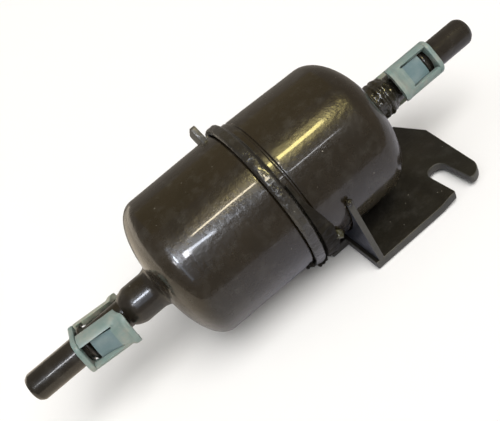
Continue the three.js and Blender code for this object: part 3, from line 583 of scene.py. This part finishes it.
def leg_point(x, s, depth):
    """Place of a leg's skin at x and s, depth below its outer face, in the retainer's own frame."""
    window, window_end, edge = CLIP["window"], CLIP["window_end"], CLIP["window_edge"]
    side, low_corner = CLIP["side_s"] + CLIP["side"], CLIP["end_round"]
    thicker = 1 + 0.6 * ease(abs(s), window - edge, window + 4 * edge)
    y, z = Vector(rim_point(s)) + rim_inward(s) * depth * thicker
    if abs(s) < window - edge and x < window_end + 0.6:
        lean = ease(window_end + 0.6 - x, -2.0, window_end - CLIP["tongue_tip"])
        z -= CLIP["tongue_drop"] * lean
        z -= CLIP["tongue_dish"] * ease(abs(s), 1.6, 3.6) * lean
    rise = ease(x, CLIP["hook_from"], CLIP["hook_full"])
    x -= low_corner * ease(abs(s), 5.2, side) * ease(x, window_end, CLIP["end"])
    x += CLIP["start_slant"] * max(0.0, CLIP["hinge_z"] - z) * (1 - ease(x, CLIP["start"], 1.0))
    z += CLIP["hook_rise"] * rise * (1 - ease(abs(s), CLIP["side_s"] - 1.0, side))
    waist = ease(x, window_end, CLIP["waist_x"]) * (1 - ease(x, CLIP["waist_x"], CLIP["waist_x"] + 1.2))
    z -= CLIP["waist"] * waist * (1 - ease(abs(s), 4, 7))
    return Vector((x, y, z))


def seat_in(end, side=0):
    """Matrix from the retainer's own frame to axis millimetres."""
    middle = Matrix.Translation(((CLIP["back"] + CLIP["front"]) / 2, 0, 0))
    skew = middle @ Matrix.Rotation(math.radians(end["yaw"]), 4, "Z") @ middle.inverted()
    face = Matrix.Rotation(math.pi if end["toward"] < 0 else 0.0, 4, "Z")
    turned = Matrix.Rotation(math.radians(end["turn"]), 4, "X")
    half_turn = Matrix.Rotation(math.radians(side), 4, "X")
    return Matrix.Translation((end["bead"], 0, 0)) @ turned @ face @ skew @ half_turn


def clear_of_pipe(point, seat, tries=40, step=0.08):
    """Lifts a leg's point until it clears the pipe, at rest and with the leg squeezed right in."""
    hinge = Matrix.Translation((CLIP["hinge_x"], 0, CLIP["hinge_z"]))
    squeeze = hinge @ Matrix.Rotation(math.radians(CLIP["squeeze"]), 4, "Y") @ hinge.inverted()
    for _ in range(tries):
        places = (seat @ point, seat @ (squeeze @ point))
        if min(math.hypot(p.y, p.z) for p in places) > CLIP["pipe_room"]:
            break
        point.z += step
    return point


def pushed_out(point, radius):
    """The point moved away from the canister's axis to a radius."""
    grow = radius / math.hypot(point.y, point.z)
    return Vector((point.x, point.y * grow, point.z * grow))


def clear_of_bead(point, end):
    """Keeps a point of a retainer out of the pipe and its bead."""
    if math.hypot(point.y, point.z) < ROOM["pipe_r"]:
        point = pushed_out(point, ROOM["pipe_r"])
    x, r = (point.x - end["bead"]) * end["toward"], math.hypot(point.y, point.z)
    if r < ROOM["bead_r"] and -ROOM["behind"] < x < 0:
        point.x = end["bead"] - ROOM["behind"] * end["toward"]
    if r < ROOM["ahead_r"] and 0 <= x < ROOM["ahead"]:
        point = pushed_out(point, ROOM["ahead_r"])
    return point


def leg_cells(rows, columns):
    """Which cells of a leg's grid are plastic: all but the window's opening and the tongue's slits."""
    cells = set()
    for i in range(len(rows) - 1):
        for j in range(len(columns) - 1):
            x, s = (rows[i] + rows[i + 1]) / 2, abs(columns[j] + columns[j + 1]) / 2
            opening = s < CLIP["window"] and x < CLIP["tongue_tip"]
            slit = CLIP["tongue"] < s < CLIP["window"] and x < CLIP["window_end"]
            if not opening and not slit:
                cells.add((i, j))
    return cells


def release_leg(prefix, which, end, side, finish):
    """One curved leg: rails, slits, a leaning tongue and the outward hook at its end."""
    reach, rail = CLIP["side_s"] + CLIP["side"], CLIP["rail_s"]
    window, tongue = CLIP["window"], CLIP["tongue"]
    columns = steps_between([-reach, -rail, -window, -tongue, tongue, window, rail, reach], 0.45)
    rows = steps_between([CLIP["start"], CLIP["tongue_tip"], CLIP["window_end"], CLIP["hook_from"],
                          CLIP["hook_full"], CLIP["end"]], 0.5)
    wide, count = len(columns), len(rows) * len(columns)
    seat = seat_in(end, side)
    points = []
    for depth in (0.0, CLIP["thick"]):
        for x in rows:
            lifted = [clear_of_pipe(leg_point(x, s, depth), seat) for s in columns]
            points += [clear_of_bead(seat @ point, end) for point in lifted]
    cells, faces, shade_painted = leg_cells(rows, columns), [], []
    for i, j in sorted(cells):
        on_tongue = abs(columns[j] + columns[j + 1]) / 2 < tongue and rows[i] < CLIP["window_end"] - 0.6
        a, b, c, d = i * wide + j, i * wide + j + 1, (i + 1) * wide + j + 1, (i + 1) * wide + j
        faces += [(a, b, c, d), (count + d, count + c, count + b, count + a)]
        around = {(i - 1, j): (a, b), (i, j + 1): (b, c), (i + 1, j): (c, d), (i, j - 1): (d, a)}
        faces += [(q, p, count + p, count + q) for beside, (p, q) in around.items() if beside not in cells]
        shade_painted += [on_tongue] * (len(faces) - len(shade_painted))
    leg = make_piece(f"{prefix}_leg_{which}", (points, faces), finish,
                     f"{prefix}_release_leg_{which}", f"{prefix}_{which}_leg")
    # the tongue's faces take the darker bluish copy of the plastic: painted shade
    leg.data.materials.append(TEAL_SHADED)
    for face, on_tongue in zip(leg.data.polygons, shade_painted):
        face.material_index = int(on_tongue)
    drop_loose(leg.data)
    bevelled(leg, 0.22, 2, 60)


def drop_loose(mesh):
    """Deletes the points that no face uses."""
    bm = bmesh.new()
    bm.from_mesh(mesh)
    bmesh.ops.delete(bm, geom=[v for v in bm.verts if not v.link_faces], context="VERTS")
    bm.to_mesh(mesh)
    bm.free()


def retainer_plate(prefix, end):
    """The retainer's ring: a rounded plate with softened edges and a round bore."""
    reach = CLIP["side_s"] + CLIP["half_height"] - CLIP["corner"]
    rim = [Vector(rim_point(s)) for s in steps_between([-reach, 0.0, reach], 0.4)[:-1]]
    rim += [Vector((-p.x, -p.y)) for p in rim]
    back, front, edge = CLIP["back"], CLIP["front"], CLIP["edge"]
    # X, whether the point is on the rim or in the bore, and how far it is set in
    profile = [(back + edge, False, 0.0), (back, False, edge * 0.8), (back, True, edge),
               (back + edge * 0.3, True, edge * 0.3), (back + edge, True, 0.0), (front - edge, True, 0.0),
               (front - edge * 0.3, True, edge * 0.3), (front, True, edge), (front, False, edge * 0.5),
               (front - edge * 0.5, False, 0.0)]
    seat = seat_in(end)
    points, faces, n = [], [], len(profile)
    for p in rim:
        outward = p.normalized()
        for x, on_rim, inset in profile:
            place = p - outward * inset if on_rim else outward * (CLIP["bore"] + inset)
            points.append(clear_of_bead(seat @ Vector((x, place.x, place.y)), end))
    for j in range(len(rim)):
        after = (j + 1) % len(rim)
        faces += [(j * n + i, j * n + (i + 1) % n, after * n + (i + 1) % n, after * n + i) for i in range(n)]
    make_piece(f"{prefix}_retainer_plate", (points, faces), TEAL, f"{prefix}_retainer_ring",
               f"{prefix}_retainer")


# ---- bracket ------------------------------------------------------------------------------------
def plate_plan():
    """(x, y) outline of the plate: its lip, open slot, rounded prong, chamfered end and narrow foot."""
    p, (slot0, slot1), r, lead = PLATE, PLATE["slot"], PLATE["slot_corner"], PLATE["slot_lead"]
    deep, prong = p["lip"] + p["slot_depth"], p["prong"]
    plan = [(p["x0"], p["lip"]), (slot0 - lead, p["lip"]), (slot0, p["lip"] + lead)]
    plan += arc((slot0 + r, deep - r), r, 180, 90) + arc((slot1 - r, deep - r), r, 90, 0)
    plan += [(slot1, p["lip"] + lead)]
    plan += arc((p["x1"] - prong, p["lip"] + prong), prong, p["prong_start"], 0, 14)
    plan += [p["shoulder"], (p["chamfer"], p["far"]), (p["x0"], p["far"]), (p["foot_x"], p["foot_y"][1]),
             (p["foot_x"], p["foot_y"][0]), (p["x0"], p["foot_y"][0])]
    return plan


def plate_skin():
    """Pressed plate: joggled ear, open slot, and edges softened by the press and the paint."""
    shape = prism(plate_plan(), PLATE["top"] - PLATE["thick"], PLATE["top"], upright=True)
    plate = make_piece("bracket_plate_skin", shape, BRACKET_PAINT, "bracket_plate")
    bm = bmesh.new()
    bm.from_mesh(plate.data)
    start, end = PLATE["joggle"][0] - PLATE["joggle_soft"], PLATE["joggle"][1] + PLATE["joggle_soft"]
    for k in range(PLATE["joggle_cuts"] + 1):
        cut = to_frame((start + (end - start) * k / PLATE["joggle_cuts"], 0, 0))
        bmesh.ops.bisect_plane(bm, geom=bm.verts[:] + bm.edges[:] + bm.faces[:], plane_co=cut,
                               plane_no=(1, 0, 0))
    for vertex in bm.verts:
        x = (vertex.co.x - AXIS.x) / MM
        vertex.co.z += PLATE["rise"] * MM * ease(x, start, end)
    bm.to_mesh(plate.data)
    bm.free()
    bevelled(plate, 0.45, 3)
    edge_tint(plate, (0, 0, 1))


def edge_tint(piece, flat):
    """Paints the cut edges of a sheet, which face away from its flat direction, a worn lighter grey."""
    piece.data.materials.append(EDGE_PAINT)
    for face in piece.data.polygons:
        if abs(face.normal.dot(Vector(flat))) < SQUARE_ON:
            face.material_index = 1


def web_skin():
    """Upright web between the plate and the canister, hollowed to the canister's curve."""
    seat, foot = CAN["rim"] + WEB["off_can"], PLATE["top"] + WEB["foot"]
    low = math.degrees(math.asin((PLATE["top"] + WEB["curve_foot"]) / seat))
    high = math.degrees(math.asin(WEB["top_z"] / seat))
    curve = [(-y, z) for y, z in arc((0, 0), seat, high, low, 16)]
    outline = [(WEB["top_y"], WEB["top_z"])] + curve + [(WEB["inner_y"], foot), (PLATE["lip"], foot)]
    shape = prism(outline, WEB["x0"], WEB["x1"])
    web = bevelled(make_piece("bracket_web_skin", shape, BRACKET_PAINT, "bracket_web"), 0.3)
    edge_tint(web, (1, 0, 0))
    # the face towards the inlet takes the bluish copy of the paint: painted light
    web.data.materials.append(WEB_LIT_FACE_PAINT)
    for face in web.data.polygons:
        if face.normal.x < -SQUARE_ON:
            face.material_index = 2


def lump_mesh(centre, radii, rough):
    """Points and faces of a ball pulled to three radii and roughened."""
    bm = bmesh.new()
    bmesh.ops.create_icosphere(bm, subdivisions=4, radius=1.0)
    points = []
    for vertex in bm.verts:
        swell = 1 + lumps(vertex.co + Vector(centre), 0.55, rough) + lumps(vertex.co, 0.22, rough * 0.4)
        points.append(tuple(c + v * r * swell for c, v, r in zip(centre, vertex.co, radii)))
    faces = [tuple(v.index for v in f.verts) for f in bm.faces]
    bm.free()
    return points, faces


def rough_ball(name, centre, radii, finish, node):
    """A lump of weld in place of a CAD node."""
    make_piece(name, lump_mesh(centre, radii, 0.3), finish, node)


def fillet_weld(name, side, node):
    """Rippled fillet along the underside of the canister."""
    foot, steps, sides, crown = PLATE["top"] + WELD["sunk"], WELD["steps"], WELD["sides"], WELD["crown"]
    middle, half = (WELD["inner"] + WELD["outer"]) / 2, (WELD["outer"] - WELD["inner"]) / 2
    points, faces = [], []
    for i in range(steps + 1):
        x = WELD["x0"] + (WELD["x1"] - WELD["x0"]) * i / steps
        ends = math.sqrt(max(0.0, 1 - abs(2 * i / steps - 1) ** 6))
        for k in range(sides):
            a = 2 * math.pi * k / sides
            ripple = 0.07 * math.sin(x * 5.5 + math.cos(a))
            spread = ends * (1 + ripple + lumps((x, math.cos(a), math.sin(a)), 0.9, 0.1))
            y = middle + half * math.cos(a) * spread
            z = foot + crown / 2 + crown / 2 * math.sin(a) * min(spread, 1.0)
            under_can = -math.sqrt(max(0.0, (CAN["rim"] + WELD["sunk"]) ** 2 - y * y))
            points.append((x, side * y, min(z, foot + crown, under_can)))
    for i in range(steps):
        for k in range(sides):
            a, b = i * sides + k, i * sides + (k + 1) % sides
            faces.append((a, b, b + sides, a + sides))
    faces += [tuple(range(sides)), tuple(range(steps * sides, (steps + 1) * sides))]
    make_piece(name, (points, faces), FILLET_PAINT, node)


def strap_edge(elevation):
    """Far X of the thin strap at an elevation, straight between its stations."""
    stations = STRAP["stations"]
    for (e0, x0), (e1, x1) in zip(stations, stations[1:]):
        if e1 <= elevation <= e0:
            return x0 + (x1 - x0) * (e0 - elevation) / (e0 - e1)
    return stations[-1][1]


def near_side(x, r, elevation):
    """Axis millimetres of a place on the near side of the canister."""
    e = math.radians(elevation)
    return x, -r * math.cos(e), r * math.sin(e)


def strap_skin():
    """Tapered strap on the canister that thickens into a lug at its foot, with weld spatter round it."""
    points, faces = [], []
    top, bottom, steps = STRAP["stations"][0][0], STRAP["bottom"], STRAP["steps"]
    seat = STRAP["seat"] - STRAP["sunk"]
    for i in range(steps + 1):
        elevation = top + (bottom - top) * i / steps
        lug = ease(STRAP["lug_top"] - elevation, -STRAP["lug_ease"], STRAP["lug_ease"])
        x1 = strap_edge(elevation) + (STRAP["lug_x"] - strap_edge(elevation)) * lug
        outer = STRAP["seat"] + STRAP["thin"] + (STRAP["thick"] - STRAP["thin"]) * lug
        tops = [x1 + (STRAP["x0"] - x1) * k / STRAP["columns"] for k in range(STRAP["columns"] + 1)]
        across = [(STRAP["x0"], seat), (x1, seat)] + [(x, outer) for x in tops]
        for x, r in across:
            if r > seat:
                spot = (x, elevation * 0.45, 0.0)
                r += lumps(spot, 1.6, 0.12 + 0.5 * lug) + lumps(spot, 0.6, 0.05 + 0.18 * lug) - 0.15 * lug
            points.append(near_side(x, r, elevation))
    n = len(across)
    for i in range(steps):
        faces += [(n * i + k, n * i + (k + 1) % n, n * i + n + (k + 1) % n, n * i + n + k) for k in range(n)]
    faces += [tuple(range(n)), tuple(range(n * steps, n * steps + n))]
    for x, elevation, size, lift in SPATTER:
        place = near_side(x, STRAP["seat"] + lift + size * 0.5, elevation)
        ball, skin = lump_mesh(place, (size, size, size), 0.5)
        faces += [tuple(len(points) + k for k in face) for face in skin]
        points += ball
    strap = make_piece("bracket_strap_skin", (points, faces), STRAP_PAINT, "bracket_strap")
    bevelled(strap, 0.3, 2, 62)


inlet_half()
outlet_half()
seam_ear()
pipe("inlet_pipe", INLET)
pipe("outlet_pipe", OUTLET)
inlet_sleeve()
outlet_braze()
for prefix, end in (("inlet", INLET), ("outlet", OUTLET)):
    retainer_plate(prefix, end)
    release_leg(prefix, "front", end, 0, TEAL)
    # the rear legs take the paler warm copy of the plastic: painted warm light
    release_leg(prefix, "rear", end, 180, TEAL_LIT_WARM)
plate_skin()
web_skin()
strap_skin()
fillet_weld("weld_near_bead", -1, "bracket_weld_near")
fillet_weld("weld_far_bead", 1, "bracket_weld_far")
rough_ball("web_weld_bead", (20.9, -26.0, -0.8), (1.1, 1.0, 1.1), WELD_PAINT, "bracket_web_weld")
rough_ball("strap_weld_bead", near_side(14.0, 26.0, -21), (1.5, 1.4, 1.7), KNOB_PAINT, "bracket_strap_weld")

# ---- CAD nodes kept as they are ----------------------------------------------------------------
KEPT = {
    "pleated_paper": PAPER, "perforated_core": TIN, "element_end_cap_inlet": TIN,
    "element_end_cap_outlet": TIN, "outlet_grommet": RUBBER, "element_spring": STEEL,
    "seam_seal_ring": RUBBER,
}
for node_name, finish in KEPT.items():
    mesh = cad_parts[node_name].data
    mesh.materials.clear()
    mesh.materials.append(finish)

# ---- studio -------------------------------------------------------------------------------------
FLOOR_MM = (FLOOR_Z - AXIS.z) / MM
FLOOR_RADIUS, BACKDROP_RADIUS, BACKDROP_TOP, BACKDROP_FOOT = 4000, 3900, 6000, FLOOR_MM - 10
FLOOR_GAP, MIRROR_GAP, ROUND_SIDES = 0.4, 0.2, 96
RAYS = ("camera", "diffuse", "glossy", "transmission", "volume_scatter", "shadow")


def stage_piece(name, points, faces, material, *seen_by):
    """A stage mesh in axis millimetres that only the named kinds of ray meet."""
    mesh = bpy.data.meshes.new(name)
    mesh.from_pydata([to_frame(p) for p in points], [], faces)
    mesh.materials.append(material)
    piece = bpy.data.objects.new(name, mesh)
    bpy.context.scene.collection.objects.link(piece)
    for ray in RAYS:
        setattr(piece, "visible_" + ray, ray in seen_by)


def stage_sheet(name, corners, material, *seen_by):
    """A flat stage piece from its corners."""
    stage_piece(name, corners, [tuple(range(len(corners)))], material, *seen_by)


def glow(name, colour, strength):
    """A material that only gives light."""
    material = bpy.data.materials.new(name)
    material.use_nodes = True
    nodes = material.node_tree.nodes
    nodes.clear()
    output = nodes.new("ShaderNodeOutputMaterial")
    emit = nodes.new("ShaderNodeEmission")
    emit.inputs["Color"].default_value = (*colour, 1)
    emit.inputs["Strength"].default_value = strength
    material.node_tree.links.new(emit.outputs[0], output.inputs[0])
    return material


def matt(name, tint):
    """A plain matt material and its shader."""
    material, shader = new_material(name)
    shader.inputs["Base Color"].default_value = (*tint, 1)
    shader.inputs["Roughness"].default_value = 0.9
    return material, shader


def floor_tint(name):
    """The pale floor as the glossy paint sees it: warm to the inlet side, cool in the middle, dim beyond."""
    material, shader = matt(name, (0.5, 0.5, 0.5))
    along = add(material, "ShaderNodeSeparateXYZ", {"Vector": place_coords(material)}).outputs["X"]
    place = level(material, along, -250 * MM, 150 * MM, 0.0, 1.0)
    tints = [(0.0, (0.72, 0.64, 0.52)), (0.42, (0.68, 0.60, 0.49)), (0.52, (0.56, 0.54, 0.53)),
             (0.62, (0.54, 0.54, 0.62)), (1.0, (0.42, 0.42, 0.45))]
    link(material, ramp(material, place, tints), shader, "Base Color")
    return material


def disc(radius, z):
    """Points round a level circle about the middle of the stage."""
    turns = [2 * math.pi * k / ROUND_SIDES for k in range(ROUND_SIDES)]
    return [(radius * math.cos(t), radius * math.sin(t), z) for t in turns]


def backdrop():
    """A pale round wall that only the camera sees, so that low views have no dark horizon."""
    n = ROUND_SIDES
    points = disc(BACKDROP_RADIUS, BACKDROP_FOOT) + disc(BACKDROP_RADIUS, BACKDROP_TOP)
    faces = [(k, (k + 1) % n, n + (k + 1) % n, n + k) for k in range(n)]
    stage_piece("backdrop", points, faces, glow("backdrop_pale", (0.97, 0.96, 0.94), 1.0), "camera")


stage_sheet("floor", disc(FLOOR_RADIUS, FLOOR_MM - FLOOR_GAP), matt("floor_pale", (0.93, 0.93, 0.93))[0],
            "camera", "diffuse", "transmission", "shadow")
# the edge of the stretch of floor that the paint mirrors; past it the paint sees the dim room
MIRROR_EDGE = [(-900, -235), (900, 10), (900, 60), (-60, 60), (-120, 400), (-900, 400)]
stage_sheet("mirror_floor", [(x, y, FLOOR_MM - MIRROR_GAP) for x, y in MIRROR_EDGE],
            floor_tint("mirror_floor_tint"), "glossy")
backdrop()

WARM, AMBER, CREAM, TAN = (1.0, 0.86, 0.34), (1.0, 0.84, 0.40), (1.0, 0.88, 0.66), (1.0, 0.82, 0.5)
BLUE, SKY, WHITE = (0.82, 0.88, 1.0), (0.7, 0.8, 1.0), (0.95, 0.96, 1.0)
CARD_NEAR, CARD_FAR, CARD_BACK = 586, 618, 700
# name: colour, strength, distance, then X and its lowest and highest elevation at the card's two ends
CARDS = {
    "card_warm": (WARM, 34.0, CARD_NEAR, (122, 63.2, 67.9), (232, 63.9, 68.9)),
    "card_amber": (AMBER, 2.4, CARD_FAR, (112, 57.0, 77.4), (252, 57.4, 78.3)),
    "card_cream": (CREAM, 34.0, CARD_NEAR, (-26, 58.4, 60.4), (96, 58.8, 60.8)),
    "card_glow": (TAN, 0.8, CARD_FAR, (-27, 60.4, 75.2), (101, 60.8, 76.0)),
    "card_head": (WHITE, 60.0, CARD_NEAR, (-47, 43.0, 50.5), (-38, 42.0, 49.0)),
    "card_blue": (BLUE, 28.0, CARD_NEAR, (-36, 45.6, 49.2), (-2, 43.4, 46.4)),
    "card_pale_left": (BLUE, 4.0, CARD_NEAR, (22, 43.7, 45.6), (40, 43.6, 45.4)),
    "card_pale_right": (BLUE, 7.0, CARD_NEAR, (70, 43.4, 45.2), (106, 43.2, 45.0)),
    "card_white": (WHITE, 16.0, CARD_NEAR, (124, 42.2, 43.3), (234, 42.2, 43.4)),
    "card_haze": (SKY, 0.35, CARD_FAR, (-27, 43.1, 58.1), (101, 43.3, 58.5)),
    "card_sleeve": (BLUE, 42.0, CARD_NEAR, (-132, 44.5, 55.0), (-86, 44.5, 55.0)),
    "card_sleeve_halo": (SKY, 2.0, CARD_BACK, (-160, 14.0, 70.0), (-86, 14.0, 70.0)),
    "card_pipe": (WHITE, 20.0, CARD_NEAR, (-262, 43.3, 50.3), (-196, 43.3, 50.3)),
    "card_ceiling": (TAN, 0.26, CARD_FAR, (-200, 96.0, 150.0), (300, 96.0, 150.0)),
}


def card_corners(distance, *ends):
    """Corners of a card round the near side of the canister, from X and two elevations at each end."""
    start, finish = [[near_side(x, distance, e) for e in (low, high)] for x, low, high in ends]
    return start + finish[::-1]


for card_name, (colour, strength, distance, *ends) in CARDS.items():
    stage_sheet(card_name, card_corners(distance, *ends), glow(card_name, colour, strength), "glossy")
# a warm wall beyond the inlet, mirrored in the rim of the inlet dome: X, Y and height of its folds
WALL_FOLDS = [(-640, 90, 28), (-370, 460, 165), (-100, 590, 50)]
for k, ((x0, y0, top0), (x1, y1, top1)) in enumerate(zip(WALL_FOLDS, WALL_FOLDS[1:])):
    corners = [(x0, y0, FLOOR_MM), (x0, y0, top0), (x1, y1, top1), (x1, y1, FLOOR_MM)]
    stage_sheet(f"card_wall_{k}", corners, glow(f"card_wall_{k}", (1.0, 0.88, 0.72), 1.2), "glossy")


def direction(azimuth, elevation):
    """Unit vector towards a place in the sky. Azimuth 0 is -Y and 90 is +X."""
    a, e = math.radians(azimuth), math.radians(elevation)
    return Vector((math.sin(a) * math.cos(e), -math.cos(a) * math.cos(e), math.sin(e)))


def sun(name, azimuth, elevation, strength, width, colour):
    """A wide soft light far away, which the paint doesn't mirror."""
    data = bpy.data.lights.new(name, "SUN")
    data.energy, data.angle, data.color = strength, math.radians(width), colour
    light = bpy.data.objects.new(name, data)
    light.rotation_mode = "QUATERNION"
    light.rotation_quaternion = direction(azimuth, elevation).to_track_quat("Z", "Y")
    light.visible_glossy = False
    bpy.context.scene.collection.objects.link(light)


sun("key", 20, 62, 2.6, 50, (1.0, 0.98, 0.95))
sun("fill", -70, 45, 0.95, 90, (0.88, 0.94, 1.0))

bpy.context.scene.view_settings.view_transform = "Standard"
world = bpy.data.worlds.new("studio")
bpy.context.scene.world = world
world.use_nodes = True
world_light = world.node_tree.nodes["Background"]
world_light.inputs["Color"].default_value = (0.92, 0.83, 0.72, 1)
world_light.inputs["Strength"].default_value = 0.25

# ---- camera, at the photograph's viewing angle ---------------------------------------------------
CAMERA = dict(at=(-20.62, -144.59, 116.78), azimuth=-8.134, elevation=38.817, roll=-34.881,
              lens=43.2, sensor=36.0, clip=5.0)
camera_data = bpy.data.cameras.new("camera")
camera_data.lens, camera_data.sensor_width = CAMERA["lens"], CAMERA["sensor"]
camera_data.sensor_fit = "HORIZONTAL"
camera_data.clip_start = CAMERA["clip"] * MM
camera = bpy.data.objects.new("camera", camera_data)
facing = direction(CAMERA["azimuth"], CAMERA["elevation"]).to_track_quat("Z", "Y").to_matrix()
turn = facing @ Matrix.Rotation(math.radians(CAMERA["roll"]), 3, "Z")
camera.matrix_world = Matrix.Translation(to_frame(CAMERA["at"])) @ turn.to_4x4()
bpy.context.scene.collection.objects.link(camera)
bpy.context.scene.camera = camera

bpy.context.view_layer.update()
